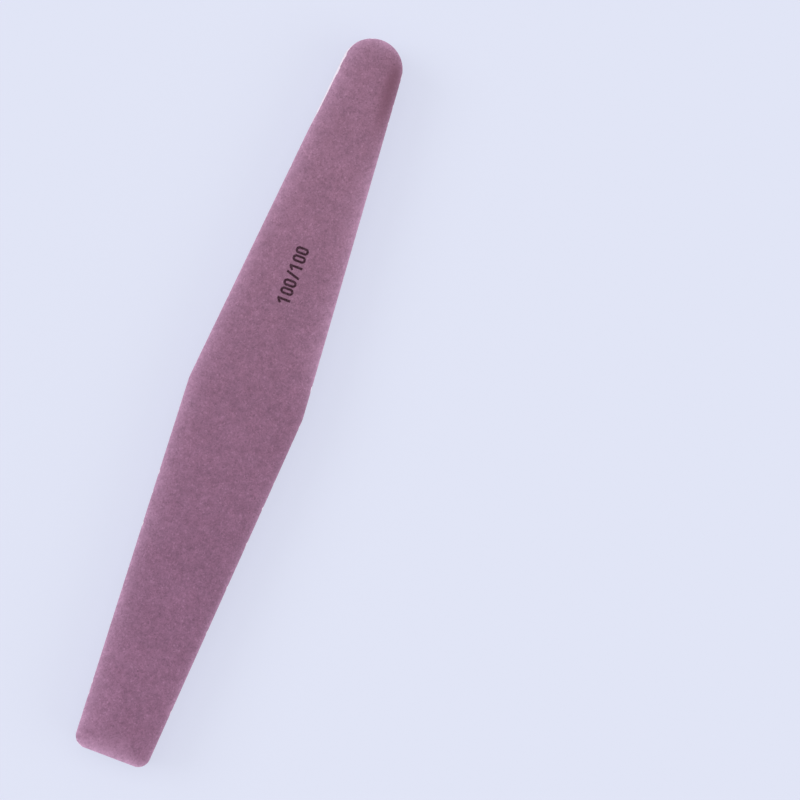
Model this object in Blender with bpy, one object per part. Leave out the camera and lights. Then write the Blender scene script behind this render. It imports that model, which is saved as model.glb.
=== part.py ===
"""Nail buffer: a die-cut laminated board with a long diamond outline.

A stiff plastic core carries a foam layer on each side, and each foam layer carries an abrasive
sheet, which is a paper backing under a coat of grit. Thin adhesive films join the layers.

The board lies flat with its lower face on z = 0 and its length along X. The narrow round end
points to +X and the wide blunt end to -X. Units are metres.
"""

import math

import bmesh
import bpy

MM = 0.001

# Outline of the board, seen from above
BOARD_LENGTH = 178.0 * MM
WAIST_WIDTH = 28.2 * MM  # across the sharp corners, before they are blended
WAIST_FROM_WIDE_END = 89.0 * MM
WAIST_BLEND_RADIUS = 13.0 * MM
NARROW_END_RADIUS = 7.2 * MM
WIDE_END_WIDTH = 17.9 * MM  # across the sharp corners, before they are rounded
WIDE_CORNER_RADIUS = 2.9 * MM

# Thickness of each layer, from the middle outwards
CORE_THICKNESS = 1.4 * MM
CORE_ADHESIVE_THICKNESS = 0.1 * MM
FOAM_THICKNESS = 4.7 * MM
FACE_ADHESIVE_THICKNESS = 0.1 * MM
BACKING_THICKNESS = 0.2 * MM
GRIT_THICKNESS = 0.2 * MM

# The die presses the soft faces down along their rim as it cuts
RIM_WIDTH = 2.4 * MM
RIM_DROP = 0.4 * MM
RIM_CURVE = 1.6  # power by which the drop grows towards the edge
LEAST_RING_RADIUS = 1.0 * MM  # the rings inside a corner get no sharper than this

# Steps along each round stretch, and across the rim
NARROW_END_STEPS = 28
WAIST_STEPS = 2
WIDE_CORNER_STEPS = 6
RIM_STEPS = 3

# Linear colours, each with its roughness
CORE_PLASTIC = ((0.82, 0.70, 0.86), 0.45)
ADHESIVE_FILM = ((0.55, 0.47, 0.60), 0.35)
PURPLE_FOAM = ((0.16, 0.065, 0.26), 0.85)
BACKING_PAPER = ((0.68, 0.56, 0.74), 0.80)
MAUVE_GRIT = ((0.27, 0.14, 0.22), 0.95)

SHARP_ANGLE = math.radians(35.0)


def taper_angles():
    """Slopes of the side lines against X: from the waist to the narrow end, and to the wide end."""
    half_waist = WAIST_WIDTH / 2
    reach = BOARD_LENGTH - WAIST_FROM_WIDE_END - NARROW_END_RADIUS
    to_end_centre = math.atan2(half_waist, reach)
    narrow = to_end_centre - math.asin(NARROW_END_RADIUS / math.hypot(reach, half_waist))
    wide = math.atan2(half_waist - WIDE_END_WIDTH / 2, WAIST_FROM_WIDE_END)
    return narrow, wide


def arc(centre, radius, start, end, steps):
    """Points on an arc, from the direction start to the direction end."""
    angles = [start + (end - start) * i / steps for i in range(steps + 1)]
    return [(centre[0] + radius * math.cos(a), centre[1] + radius * math.sin(a)) for a in angles]


def rounded_corner(corner, radius, start, end, steps, inset):
    """The arc that rounds a corner of the outline, on the ring that lies inset from the outline.

    start and end are the directions of the outward normals of the two lines that meet there.
    """
    ring_radius = max(radius - inset, min(radius, LEAST_RING_RADIUS))
    middle = (start + end) / 2
    back = (ring_radius + inset) / math.cos((end - start) / 2)
    centre = (corner[0] - back * math.cos(middle), corner[1] - back * math.sin(middle))
    return arc(centre, ring_radius, start, end, steps)


def outline_ring(inset):
    """The board's outline moved inwards by inset, anticlockwise from the narrow end's -Y side."""
    narrow, wide = taper_angles()
    wide_end_x = -BOARD_LENGTH / 2
    waist_x = wide_end_x + WAIST_FROM_WIDE_END
    square = math.pi / 2

    end_centre = (BOARD_LENGTH / 2 - NARROW_END_RADIUS, 0.0)
    end_radius = NARROW_END_RADIUS - inset
    narrow_end = arc(end_centre, end_radius, narrow - square, square - narrow, NARROW_END_STEPS)

    waist = (waist_x, WAIST_WIDTH / 2)
    side = rounded_corner(waist, WAIST_BLEND_RADIUS, square - narrow, square + wide, WAIST_STEPS, inset)
    wide_end = (wide_end_x, WIDE_END_WIDTH / 2)
    side += rounded_corner(
        wide_end, WIDE_CORNER_RADIUS, square + wide, 2 * square, WIDE_CORNER_STEPS, inset
    )
    return narrow_end + side + [(x, -y) for x, y in reversed(side)]


def rim_drop(inset):
    """How far a rolled face has left the height of its middle, at a distance in from the outline."""
    return RIM_DROP * (1.0 - inset / RIM_WIDTH) ** RIM_CURVE


def bridge(mesh, first, second):
    """Joins two closed rings of as many points, with the same diagonals on every face.

    Two layers that touch then share each triangle, so they meet without a gap or an overlap.
    """
    count = len(first)
    for i in range(count):
        j = (i + 1) % count
        mesh.faces.new((first[i], first[j], second[j]))
        mesh.faces.new((first[i], second[j], second[i]))


def add_face(mesh, height, roll):
    """Adds a face of a layer, ring by ring from the outline inwards, and returns its outer ring.

    roll is 0 for a flat face, and else the way that its rim leaves the height of its middle:
    -1 for down, and 1 for up.
    """
    rings = []
    for step in range(RIM_STEPS + 1 if roll else 1):
        inset = RIM_WIDTH * step / RIM_STEPS
        z = height + roll * rim_drop(inset)
        rings.append([mesh.verts.new((x, y, z)) for x, y in outline_ring(inset)])
    for outer, inner in zip(rings, rings[1:]):
        bridge(mesh, outer, inner)
    mesh.faces.new(rings[-1])
    return rings[0]


def add_layer(name, inner_face, outer_face, material, parent):
    """One layer as a closed solid between two faces, each given as (height, roll)."""
    mesh = bmesh.new()
    inner_edge = add_face(mesh, *inner_face)
    outer_edge = add_face(mesh, *outer_face)
    bridge(mesh, inner_edge, outer_edge)
    bmesh.ops.recalc_face_normals(mesh, faces=mesh.faces)
    data = bpy.data.meshes.new(name)
    mesh.to_mesh(data)
    mesh.free()
    data.shade_smooth()
    data.set_sharp_from_angle(angle=SHARP_ANGLE)
    data.materials.append(material)
    piece = bpy.data.objects.new(name, data)
    piece.parent = parent
    bpy.context.scene.collection.objects.link(piece)


def principled(name, colour, roughness):
    """A material with one Principled BSDF."""
    material = bpy.data.materials.new(name)
    material.use_nodes = True
    shader = material.node_tree.nodes["Principled BSDF"]
    shader.inputs["Base Color"].default_value = (*colour, 1.0)
    shader.inputs["Roughness"].default_value = roughness
    shader.inputs["Metallic"].default_value = 0.0
    return material


def clear_scene():
    for piece in list(bpy.data.objects):
        bpy.data.objects.remove(piece, do_unlink=True)


def build():
    clear_scene()
    core = principled("core_plastic", *CORE_PLASTIC)
    adhesive = principled("adhesive_film", *ADHESIVE_FILM)
    foam = principled("purple_foam", *PURPLE_FOAM)
    backing = principled("backing_paper", *BACKING_PAPER)
    grit = principled("mauve_grit", *MAUVE_GRIT)

    # The layers on each side, from the core outwards, and whether the outer face rolls at the rim
    stack = [
        ("core_adhesive", CORE_ADHESIVE_THICKNESS, adhesive, False),
        ("foam", FOAM_THICKNESS, foam, True),
        ("face_adhesive", FACE_ADHESIVE_THICKNESS, adhesive, True),
        ("abrasive_backing", BACKING_THICKNESS, backing, True),
        ("grit_coat", GRIT_THICKNESS, grit, True),
    ]
    half_core = CORE_THICKNESS / 2

    # The layers hang on an empty at mid-thickness, so the two sides mirror each other about z = 0
    middle = bpy.data.objects.new("board_middle", None)
    middle.location.z = half_core + sum(thickness for _, thickness, _, _ in stack)
    bpy.context.scene.collection.objects.link(middle)

    add_layer("core_plate", (-half_core, 0), (half_core, 0), core, middle)
    for side, out in (("upper", 1), ("lower", -1)):
        inner_face = (out * half_core, 0)
        for name, thickness, material, rolled in stack:
            outer_face = (inner_face[0] + out * thickness, -out if rolled else 0)
            add_layer(f"{side}_{name}", inner_face, outer_face, material, middle)
            inner_face = outer_face


build()
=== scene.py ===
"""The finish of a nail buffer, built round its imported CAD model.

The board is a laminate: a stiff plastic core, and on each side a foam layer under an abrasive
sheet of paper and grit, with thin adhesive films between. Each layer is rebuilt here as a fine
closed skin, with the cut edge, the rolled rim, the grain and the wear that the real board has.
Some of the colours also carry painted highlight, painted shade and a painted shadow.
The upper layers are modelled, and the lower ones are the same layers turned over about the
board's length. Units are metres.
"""

import math

import bpy
import numpy as np
from mathutils import Matrix, Vector, geometry, kdtree, noise


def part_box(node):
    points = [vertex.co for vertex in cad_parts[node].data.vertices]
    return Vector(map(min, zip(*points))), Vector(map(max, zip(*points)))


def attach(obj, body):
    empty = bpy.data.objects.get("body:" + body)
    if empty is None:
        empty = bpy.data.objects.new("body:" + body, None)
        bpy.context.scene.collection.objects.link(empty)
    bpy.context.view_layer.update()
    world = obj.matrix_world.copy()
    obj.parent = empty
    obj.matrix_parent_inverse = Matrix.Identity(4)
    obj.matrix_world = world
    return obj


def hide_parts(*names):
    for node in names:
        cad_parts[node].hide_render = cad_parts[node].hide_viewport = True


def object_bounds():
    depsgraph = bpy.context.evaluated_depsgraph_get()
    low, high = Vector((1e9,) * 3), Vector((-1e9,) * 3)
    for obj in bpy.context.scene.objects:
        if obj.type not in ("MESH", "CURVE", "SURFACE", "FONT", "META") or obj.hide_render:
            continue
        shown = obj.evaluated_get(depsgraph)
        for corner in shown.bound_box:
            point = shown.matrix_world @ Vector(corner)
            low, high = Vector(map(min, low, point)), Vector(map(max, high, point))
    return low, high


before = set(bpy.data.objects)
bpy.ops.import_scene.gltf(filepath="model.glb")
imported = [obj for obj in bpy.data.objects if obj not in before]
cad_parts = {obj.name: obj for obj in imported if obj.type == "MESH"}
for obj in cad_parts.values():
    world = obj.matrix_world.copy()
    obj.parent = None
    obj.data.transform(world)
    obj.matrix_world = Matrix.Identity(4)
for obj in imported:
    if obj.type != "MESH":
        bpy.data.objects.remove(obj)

CAD_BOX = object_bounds()
MM = 0.001
SQUARE = math.pi / 2

# Outline of the board from above, as in the CAD model
BOARD_LENGTH = CAD_BOX[1].x - CAD_BOX[0].x
WAIST_WIDTH = 28.2 * MM  # across the sharp corners, before they are blended
WAIST_FROM_WIDE_END = 89.0 * MM
WAIST_BLEND_RADIUS = 13.0 * MM
NARROW_END_RADIUS = 7.2 * MM
WIDE_END_WIDTH = 17.9 * MM  # across the sharp corners, before they are rounded
WIDE_CORNER_RADIUS = 2.9 * MM

# Height of the board's middle, and of each upper layer's outer face where it doesn't roll
MIDDLE_HEIGHT = (CAD_BOX[0].z + CAD_BOX[1].z) / 2
LAYERS = ("core_adhesive", "foam", "face_adhesive", "abrasive_backing", "grit_coat")
LEVEL = {name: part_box(f"upper_{name}")[1].z for name in LAYERS}
LEVEL["core"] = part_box("core_plate")[1].z

# The rolled rim of the soft faces, as in the CAD model
RIM_WIDTH = 2.4 * MM
RIM_CURVE = 1.6
RIM_DROP = LEVEL["abrasive_backing"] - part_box("upper_grit_coat")[0].z

# Fineness of the skins
RIM_STEP = 0.2 * MM  # between points along the rim
ARC_STEPS = 64  # points along each arc of the outline, before the rim points are set out
GRAIN_STEP = 0.23 * MM  # between points on the grit
GRAIN_JITTER = 0.34  # of that step
HIDDEN_STRIDE = 4  # the hidden faces have a point at every fourth rim point
HIDDEN_INSETS = [share * RIM_WIDTH for share in (0.12, 0.3, 0.5, 0.75, 1.0)]  # in from it
SAME_POINT = 1e-4  # in mm, under which two points of a face are one
FIELD_STEP = 0.6 * MM  # of the grid that carries the rim's wear over a face
FIELD_PASSES = 6  # of smoothing, along each way of that grid
SHARP_ANGLE = math.radians(50.0)  # between two faces of a smooth skin, from which a crease shows

# The bake map: most of its height goes to what shows, and each strip keeps a margin
SHOWN_ROWS = (0.0, 0.86)
FIRST_SPARE_ROWS = (0.86, 0.93)
SECOND_SPARE_ROWS = (0.93, 1.0)
MAP_MARGIN = 0.012  # of a strip


def taper_angles():
    """Slopes of the side lines against X: from the waist to the narrow end, and to the wide end."""
    half_waist = WAIST_WIDTH / 2
    reach = BOARD_LENGTH - WAIST_FROM_WIDE_END - NARROW_END_RADIUS
    to_end_centre = math.atan2(half_waist, reach)
    narrow = to_end_centre - math.asin(NARROW_END_RADIUS / math.hypot(reach, half_waist))
    wide = math.atan2(half_waist - WIDE_END_WIDTH / 2, WAIST_FROM_WIDE_END)
    return narrow, wide


def arc(centre, radius, start, end):
    """Points along an arc, each as x, y and its outward direction, from start to end."""
    turn = np.linspace(start, end, ARC_STEPS)
    x = centre[0] + radius * np.cos(turn)
    y = centre[1] + radius * np.sin(turn)
    return np.column_stack([x, y, turn])


def corner_arc(corner, radius, start, end):
    """The arc that rounds a corner, between the outward directions start and end."""
    back = radius / math.cos((end - start) / 2)
    middle = (start + end) / 2
    centre = (corner[0] - back * math.cos(middle), corner[1] - back * math.sin(middle))
    return arc(centre, radius, start, end)


def rim_outline():
    """The rim from above, anticlockwise: points one RIM_STEP apart, and the way out at each."""
    narrow, wide = taper_angles()
    wide_end_x = -BOARD_LENGTH / 2
    waist = (wide_end_x + WAIST_FROM_WIDE_END, WAIST_WIDTH / 2)
    wide_end = (wide_end_x, WIDE_END_WIDTH / 2)
    end_centre = (BOARD_LENGTH / 2 - NARROW_END_RADIUS, 0.0)
    end = arc(end_centre, NARROW_END_RADIUS, narrow - SQUARE, SQUARE - narrow)
    side = np.concatenate([
        corner_arc(waist, WAIST_BLEND_RADIUS, SQUARE - narrow, SQUARE + wide),
        corner_arc(wide_end, WIDE_CORNER_RADIUS, SQUARE + wide, 2 * SQUARE),
    ])
    whole_turn = (0.0, 0.0, math.tau)
    mirrored = side[::-1] * (1, -1, -1) + whole_turn
    trace = np.concatenate([end, side, mirrored, end[:1] + whole_turn])
    run = np.concatenate([[0.0], np.cumsum(np.hypot(*np.diff(trace[:, :2], axis=0).T))])
    count = round(run[-1] / RIM_STEP)
    at = np.arange(count) * run[-1] / count
    x, y, turn = (np.interp(at, run, values) for values in trace.T)
    return np.column_stack([x, y]), np.column_stack([np.cos(turn), np.sin(turn)])


RIM, RIM_OUT = rim_outline()
RIM_X, RIM_OUT_X, RIM_OUT_Y = RIM[:, 0], RIM_OUT[:, 0], RIM_OUT[:, 1]


def rim_tree():
    tree = kdtree.KDTree(len(RIM))
    for number, (x, y) in enumerate(RIM):
        tree.insert((x, y, 0.0), number)
    tree.balance()
    return tree


RIM_TREE = rim_tree()


def rim_nearest(points):
    """For points seen from above: the number of the nearest rim point, and the inset from it."""
    near = np.array([RIM_TREE.find((x, y, 0.0))[1] for x, y in points])
    inset = ((RIM[near] - points) * RIM_OUT[near]).sum(1)
    return near, inset


def rim_drop(inset):
    """How far a rolled face has left the height of its middle, at a distance in from the rim."""
    return RIM_DROP * np.clip(1.0 - inset / RIM_WIDTH, 0.0, 1.0) ** RIM_CURVE


def rim_noise(size, seed, detail=1):
    """Smooth noise along the rim, about -1 to 1, whose waves are about size long."""
    roughness, finer = 1.0, 2.0
    found = [
        noise.fractal((x / size, y / size, seed), roughness, finer, detail) for x, y in RIM
    ]
    return np.array(found)


def uneven(depth, size, seed, detail=1, middle=1.0):
    """How far in an uneven edge lies at each rim point: middle depths, give or take one depth."""
    return depth * (middle + rim_noise(size, seed, detail))


def smooth_step(values, low, high):
    share = np.clip((values - low) / (high - low), 0.0, 1.0)
    return share * share * (3.0 - 2.0 * share)


def inside(ring, points):
    """Whether each point lies inside a closed ring, both seen from above."""
    start, end = ring, np.roll(ring, -1, axis=0)
    x, y = points[:, :1], points[:, 1:]
    spans = (start[:, 1] > y) != (end[:, 1] > y)
    rise = np.where(start[:, 1] == end[:, 1], 1.0, end[:, 1] - start[:, 1])
    crossing = start[:, 0] + (y - start[:, 1]) * (end[:, 0] - start[:, 0]) / rise
    return (spans & (x < crossing)).sum(1) % 2 == 1


def smoothed(values, axis):
    """Values on a grid, each blended with its neighbours along an axis."""
    before = np.take(values, [0, *range(values.shape[axis] - 1)], axis)
    after = np.take(values, [*range(1, values.shape[axis]), -1], axis)
    return (before + 2.0 * values + after) / 4.0


def over_face(rim_values, points):
    """Values given at the rim points, carried over the face and blended where two sides meet."""
    low, high = CAD_BOX[0].xy, CAD_BOX[1].xy
    columns = math.ceil((high.x - low.x) / FIELD_STEP) + 2
    rows = math.ceil((high.y - low.y) / FIELD_STEP) + 2
    y, x = np.meshgrid(np.arange(rows), np.arange(columns), indexing="ij")
    nodes = np.column_stack([x.ravel(), y.ravel()]) * FIELD_STEP + (low.x, low.y)
    field = rim_values[rim_nearest(nodes)[0]].reshape(rows, columns)
    for axis in (0, 1) * FIELD_PASSES:
        field = smoothed(field, axis)
    place = (points - (low.x, low.y)) / FIELD_STEP
    corner = np.clip(np.floor(place).astype(int), 0, (columns - 2, rows - 2))
    column, row = corner.T
    right, up = (place - corner).T
    lower = field[row, column] * (1.0 - right) + field[row, column + 1] * right
    upper = field[row + 1, column] * (1.0 - right) + field[row + 1, column + 1] * right
    return lower * (1.0 - up) + upper * up


class Skin:
    """A closed skin in the making: its points, triangles and places on the bake map."""

    def __init__(self):
        self.points = []
        self.faces = []
        self.places = []
        self.total = 0

    def add_points(self, plane, height):
        """Adds points, given from above and by height, and returns their numbers."""
        height = np.broadcast_to(height, len(plane))
        self.points.append(np.column_stack([plane, height]))
        self.total += len(plane)
        return np.arange(self.total - len(plane), self.total)

    def add_faces(self, corners, along, across, strips, rows):
        """Adds triangles of a long band, which the bake map holds cut into strips.

        along and across give each corner's place in the band, from 0 to 1, and rows is the part
        of the map, from bottom to top, that the strips share.
        """
        low, high = rows
        strip = np.clip(np.floor(along.mean(1) * strips), 0, strips - 1)[:, None]
        u = MAP_MARGIN + (along * strips - strip) * (1.0 - 2.0 * MAP_MARGIN)
        v = (strip + MAP_MARGIN + across * (1.0 - 2.0 * MAP_MARGIN)) / strips
        self.faces.append(corners)
        self.places.append(np.stack([u, low + v * (high - low)], 2))

    def add_face(self, ring, ring_height, inner, inner_height, strips, rows, upward):
        """Adds a face that fills a ring, through inner points, and returns the ring's numbers."""
        plane = np.concatenate([ring, inner])
        loop = [list(range(len(ring)))]
        flat = [Vector(point) for point in plane / MM]
        found = geometry.delaunay_2d_cdt(flat, [], loop, 1, SAME_POINT, True)
        order = np.array([ids[0] for ids in found[3]])
        corners = order[np.array(found[2])]
        on_rim = (corners < len(ring)).all(1)
        kept = ~on_rim
        kept[on_rim] = inside(ring, plane[corners[on_rim]].mean(1))
        corners = corners[kept]
        low = CAD_BOX[0].xy
        size = CAD_BOX[1].xy - low
        along = (plane[corners, 0] - low.x) / size.x
        across = (plane[corners, 1] - low.y) / size.y
        numbers = self.add_points(ring, ring_height)
        self.add_points(inner, inner_height)
        if not upward:
            corners, along, across = corners[:, ::-1], along[:, ::-1], across[:, ::-1]
        self.add_faces(corners + numbers[0], along, across, strips, rows)
        return numbers

    def add_wall(self, rings, strips, rows):
        """Adds the wall between rings of point numbers, lowest first."""
        here = np.arange(len(RIM))
        after = (here + 1) % len(RIM)
        steps = len(rings) - 1
        for row, (low, high) in enumerate(zip(rings, rings[1:])):
            for one, two in (((low, here), (low, after)), ((low, here), (high, after))):
                last = (high, after) if two[0] is low else (high, here)
                corners = np.stack([ring[at] for ring, at in (one, two, last)], 1)
                along = np.stack([here + (at is after) for _, at in (one, two, last)], 1)
                across = [row + (ring is high) for ring, _ in (one, two, last)]
                across = np.broadcast_to(np.array(across) / steps, corners.shape)
                self.add_faces(corners, along / len(RIM), across, strips, rows)

    def make(self, name, material, node, slot, turned=False, smooth=True, marks=()):
        """Makes the piece. turned gives the same piece turned over about the board's length."""
        points = np.concatenate(self.points)
        if turned:
            points = points * (1, -1, -1) + (0, 0, 2 * MIDDLE_HEIGHT)
        mesh = bpy.data.meshes.new(name)
        mesh.from_pydata(points, [], np.concatenate(self.faces))
        places = mesh.uv_layers.new(name="OFBake")
        places.uv.foreach_set("vector", np.concatenate(self.places).ravel())
        for mark, values in marks:
            kept = mesh.attributes.new(mark, "FLOAT", "POINT")
            kept.data.foreach_set("value", values)
        if smooth:
            mesh.shade_smooth()
            mesh.set_sharp_from_angle(angle=SHARP_ANGLE)
        mesh.materials.append(material)
        piece = bpy.data.objects.new(name, mesh)
        bpy.context.scene.collection.objects.link(piece)
        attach(piece, "root")
        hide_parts(node)
        return piece


# Ranges of a shader value: a whole one, and wide to narrow ones round the middle of a cloud
WHOLE = (0.0, 1.0)
CLOUD_WIDE, CLOUD, CLOUD_NARROW = (0.2, 0.8), (0.25, 0.75), (0.3, 0.7)
CLOUD_MIDDLE = 0.5

# Sockets that hold colours on the Mix node: the two colours, and what comes out
MIX_FIRST, MIX_SECOND, MIX_RESULT = 6, 7, 2


class Paint:
    """A material with one Principled BSDF, and short words for the nodes that feed it."""

    def __init__(self, name, **constants):
        self.material = bpy.data.materials.new(name)
        self.material.use_nodes = True
        self.tree = self.material.node_tree
        self.shader = self.tree.nodes["Principled BSDF"]
        self.place = self.add("ShaderNodeTexCoord").outputs["Object"]
        self.finish(**constants)

    def add(self, kind, **settings):
        node = self.tree.nodes.new(kind)
        for setting, value in settings.items():
            setattr(node, setting, value)
        return node

    def feed(self, socket, value):
        """Links a socket to another, or sets it to a number or a colour."""
        if isinstance(value, bpy.types.NodeSocket):
            self.tree.links.new(value, socket)
        elif isinstance(value, tuple) and len(value) < len(socket.default_value):
            socket.default_value = (*value, 1.0)
        else:
            socket.default_value = value

    def math(self, operation, *values):
        node = self.add("ShaderNodeMath", operation=operation)
        for socket, value in zip(node.inputs, values):
            self.feed(socket, value)
        return node.outputs[0]

    def times(self, first, *factors):
        """The product of some values."""
        for factor in factors:
            first = self.math("MULTIPLY", first, factor)
        return first

    def mark(self, name):
        return self.add("ShaderNodeAttribute", attribute_name=name).outputs["Fac"]

    def axis(self, name):
        """One coordinate of the place on the board."""
        node = self.add("ShaderNodeSeparateXYZ")
        self.feed(node.inputs[0], self.place)
        return node.outputs[name]

    def stretched(self, *lengths):
        """The place on the board, measured in these lengths along X, Y and Z."""
        node = self.add("ShaderNodeMapping", vector_type="POINT")
        self.feed(node.inputs["Vector"], self.place)
        node.inputs["Scale"].default_value = [1.0 / length for length in lengths]
        return node.outputs[0]

    def cloud(self, size, detail=2.0, roughness=0.5, place=None):
        """Noise from 0 to 1 whose waves are about size long."""
        node = self.add("ShaderNodeTexNoise")
        self.feed(node.inputs["Vector"], place or self.place)
        node.inputs["Scale"].default_value = 1.0 / size
        node.inputs["Detail"].default_value = detail
        node.inputs["Roughness"].default_value = roughness
        return node.outputs["Fac"]

    def cells(self, size, output="Color"):
        """Cells of about this size: a random value in each, or the distance from its middle."""
        node = self.add("ShaderNodeTexVoronoi")
        self.feed(node.inputs["Vector"], self.place)
        node.inputs["Scale"].default_value = 1.0 / size
        if output == "Distance":
            return node.outputs["Distance"]
        split = self.add("ShaderNodeSeparateColor")
        self.feed(split.inputs[0], node.outputs["Color"])
        return split.outputs[0]

    def fit(self, value, given, wanted, smooth=False):
        """Moves a value from one range to another, and keeps it inside."""
        kind = "SMOOTHSTEP" if smooth else "LINEAR"
        node = self.add("ShaderNodeMapRange", interpolation_type=kind)
        for socket, number in zip(node.inputs, (value, *given, *wanted)):
            self.feed(socket, number)
        return node.outputs[0]

    def mix(self, share, first, second):
        """A colour between two, by share."""
        node = self.add("ShaderNodeMix", data_type="RGBA")
        self.feed(node.inputs[0], share)
        self.feed(node.inputs[MIX_FIRST], first)
        self.feed(node.inputs[MIX_SECOND], second)
        return node.outputs[MIX_RESULT]

    def dim(self, colour, factor):
        """A colour times a number."""
        node = self.add("ShaderNodeVectorMath", operation="SCALE")
        self.feed(node.inputs[0], colour)
        self.feed(node.inputs["Scale"], factor)
        return node.outputs[0]

    def bump(self, height, distance, below=None):
        """A normal that stands for relief of this height, from 0 to 1 times distance."""
        node = self.add("ShaderNodeBump")
        self.feed(node.inputs["Height"], height)
        node.inputs["Distance"].default_value = distance
        if below:
            self.feed(node.inputs["Normal"], below)
        return node.outputs[0]

    def finish(self, **sockets):
        """Feeds the shader's own sockets, and returns the material."""
        for socket, value in sockets.items():
            self.feed(self.shader.inputs[socket.replace("_", " ")], value)
        return self.material


# The grade number, printed in ink where the photograph has small print
PRINT_TEXT = "100/100"
PRINT_START_X = 24.6 * MM
PRINT_PITCH = 2.0 * MM
PRINT_HEIGHT = 3.2 * MM
PRINT_DIGIT_WIDTH = 1.75 * MM
PRINT_STROKE = 0.6 * MM
PRINT_FLAG_LEAN = math.radians(48.0)
PRINT_FLAG_LENGTH = 0.36 * PRINT_HEIGHT
PRINT_FLAG_MIDDLE = (-0.17 * PRINT_HEIGHT, 0.42 * PRINT_HEIGHT - 0.62 * PRINT_STROKE)
PRINT_SLASH_LEAN = math.radians(16.0)
PRINT_SLASH_LENGTH = 1.08 * PRINT_HEIGHT


def nought_glyph(paint, x, y):
    """Distance to a nought: a line of ink bent round two half circles and two straight sides."""
    bend = (PRINT_DIGIT_WIDTH - PRINT_STROKE) / 2
    straight = (PRINT_HEIGHT - PRINT_STROKE) / 2 - bend
    beyond = paint.math("SUBTRACT", paint.math("ABSOLUTE", y), straight)
    beyond = paint.math("MAXIMUM", beyond, 0.0)
    squares = paint.math("ADD", paint.times(x, x), paint.times(beyond, beyond))
    off = paint.math("ABSOLUTE", paint.math("SUBTRACT", paint.math("SQRT", squares), bend))
    return paint.math("SUBTRACT", off, PRINT_STROKE / 2)


def stroke(paint, x, y, lean, length, middle=(0.0, 0.0)):
    """Distance to a straight stroke that leans by an angle from the upright."""
    x = paint.math("SUBTRACT", x, middle[0])
    y = paint.math("SUBTRACT", y, middle[1])
    cosine, sine = math.cos(lean), math.sin(lean)
    across = paint.math("SUBTRACT", paint.times(x, cosine), paint.times(y, sine))
    along = paint.math("ADD", paint.times(x, sine), paint.times(y, cosine))
    off_side = paint.math("SUBTRACT", paint.math("ABSOLUTE", across), PRINT_STROKE / 2)
    off_end = paint.math("SUBTRACT", paint.math("ABSOLUTE", along), length / 2)
    return paint.math("MAXIMUM", off_side, off_end)


def one_glyph(paint, x, y):
    """Distance to a one: an upright stroke with a flag at its head."""
    stem = stroke(paint, x, y, 0.0, PRINT_HEIGHT)
    flag = stroke(paint, x, y, PRINT_FLAG_LEAN, PRINT_FLAG_LENGTH, PRINT_FLAG_MIDDLE)
    return paint.math("MINIMUM", stem, flag)


def slash_glyph(paint, x, y):
    return stroke(paint, x, y, PRINT_SLASH_LEAN, PRINT_SLASH_LENGTH)


GLYPHS = {"0": nought_glyph, "1": one_glyph, "/": slash_glyph}


def print_distance(paint):
    """Distance to the nearest stroke of the printed number, which reads along X."""
    x, y = paint.axis("X"), paint.axis("Y")
    strokes = []
    for place, glyph in enumerate(PRINT_TEXT):
        from_middle = paint.math("SUBTRACT", x, PRINT_START_X + place * PRINT_PITCH)
        strokes.append(GLYPHS[glyph](paint, from_middle, y))
    nearest, *others = strokes
    for off in others:
        nearest = paint.math("MINIMUM", nearest, off)
    return nearest


# Linear colours of the grit, whose own colour changes a little from the wide half to the narrow
GRIT_NARROW_HALF = (0.299, 0.147, 0.228)
GRIT_WIDE_HALF = (0.259, 0.1235, 0.207)
GRIT_HALVES_X = (-BOARD_LENGTH / 4, BOARD_LENGTH / 3)
GRIT_COOL = (0.262, 0.150, 0.250)
# the paler rim: partly wear, partly painted highlight where the rim faces the light
GRIT_WEAR_AND_HIGHLIGHT = (0.76, 0.46, 0.69)
# a painted shadow: the darker band inside the rim on the narrow end's -Y shoulder
GRIT_PAINTED_SHADOW = (0.182, 0.076, 0.121)

# Sizes of the grit's marks, and the shades or shares that they give, from their lowest value up
GRAIN_SIZE, GRAIN_SHADES = 0.34 * MM, (0.90, 1.10)
CRUMB_SIZE, CRUMB_SHADES = 0.16 * MM, (0.94, 1.06)
PATCH_SIZE, PATCH_SHADES = 1.6 * MM, (0.895, 1.105)
DRIFT_SIZE, DRIFT_SHADES = 9.0 * MM, (0.955, 1.045)
TINT_SIZE, TINT_SHARES = 2.6 * MM, (0.03, 0.13)
FLECK_SIZE = 0.8 * MM
RARE_GRAIN_SHADES = (0.90, 1.12)
RARE_FLECK_SHADES = (0.93, 1.08)
RARE_SHARE = 0.10  # of the grains or flecks are the dark ones, and as many are the pale ones
PAINTED_PIT_SHADES = (1.05, 0.86)  # painted shade, darker in the pits: from the highest grain to the deepest pit
# painted shade across the face: darker toward the -Y side, paler toward the +Y side, which faces
# the key light
SIDES_Y, PAINTED_SIDE_SHADES = (-WAIST_WIDTH / 2, WAIST_WIDTH / 2), (0.975, 1.02)
BLUNT_END_X, BLUNT_END_SHADES = (-BOARD_LENGTH / 2, -BOARD_LENGTH / 4), (1.08, 1.0)
PAINTED_SHADOW_PATCH_SHARES = (0.75, 1.0)
WEAR_AND_HIGHLIGHT_GRAIN_SHARES = (0.82, 1.18)
WEAR_AND_HIGHLIGHT_PATCH_SHARES = (0.85, 1.15)

# Finish of the grit: a few of the grains glint
GRIT_SPECULAR = 0.25
GRIT_ROUGHNESS = (0.95, 0.78)
GLINT_GRAINS, GLINT_SMOOTHNESS = (0.93, 1.0), 0.35
POCK_SIZE, POCK_DEPTH = 0.11 * MM, 0.02 * MM

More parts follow.
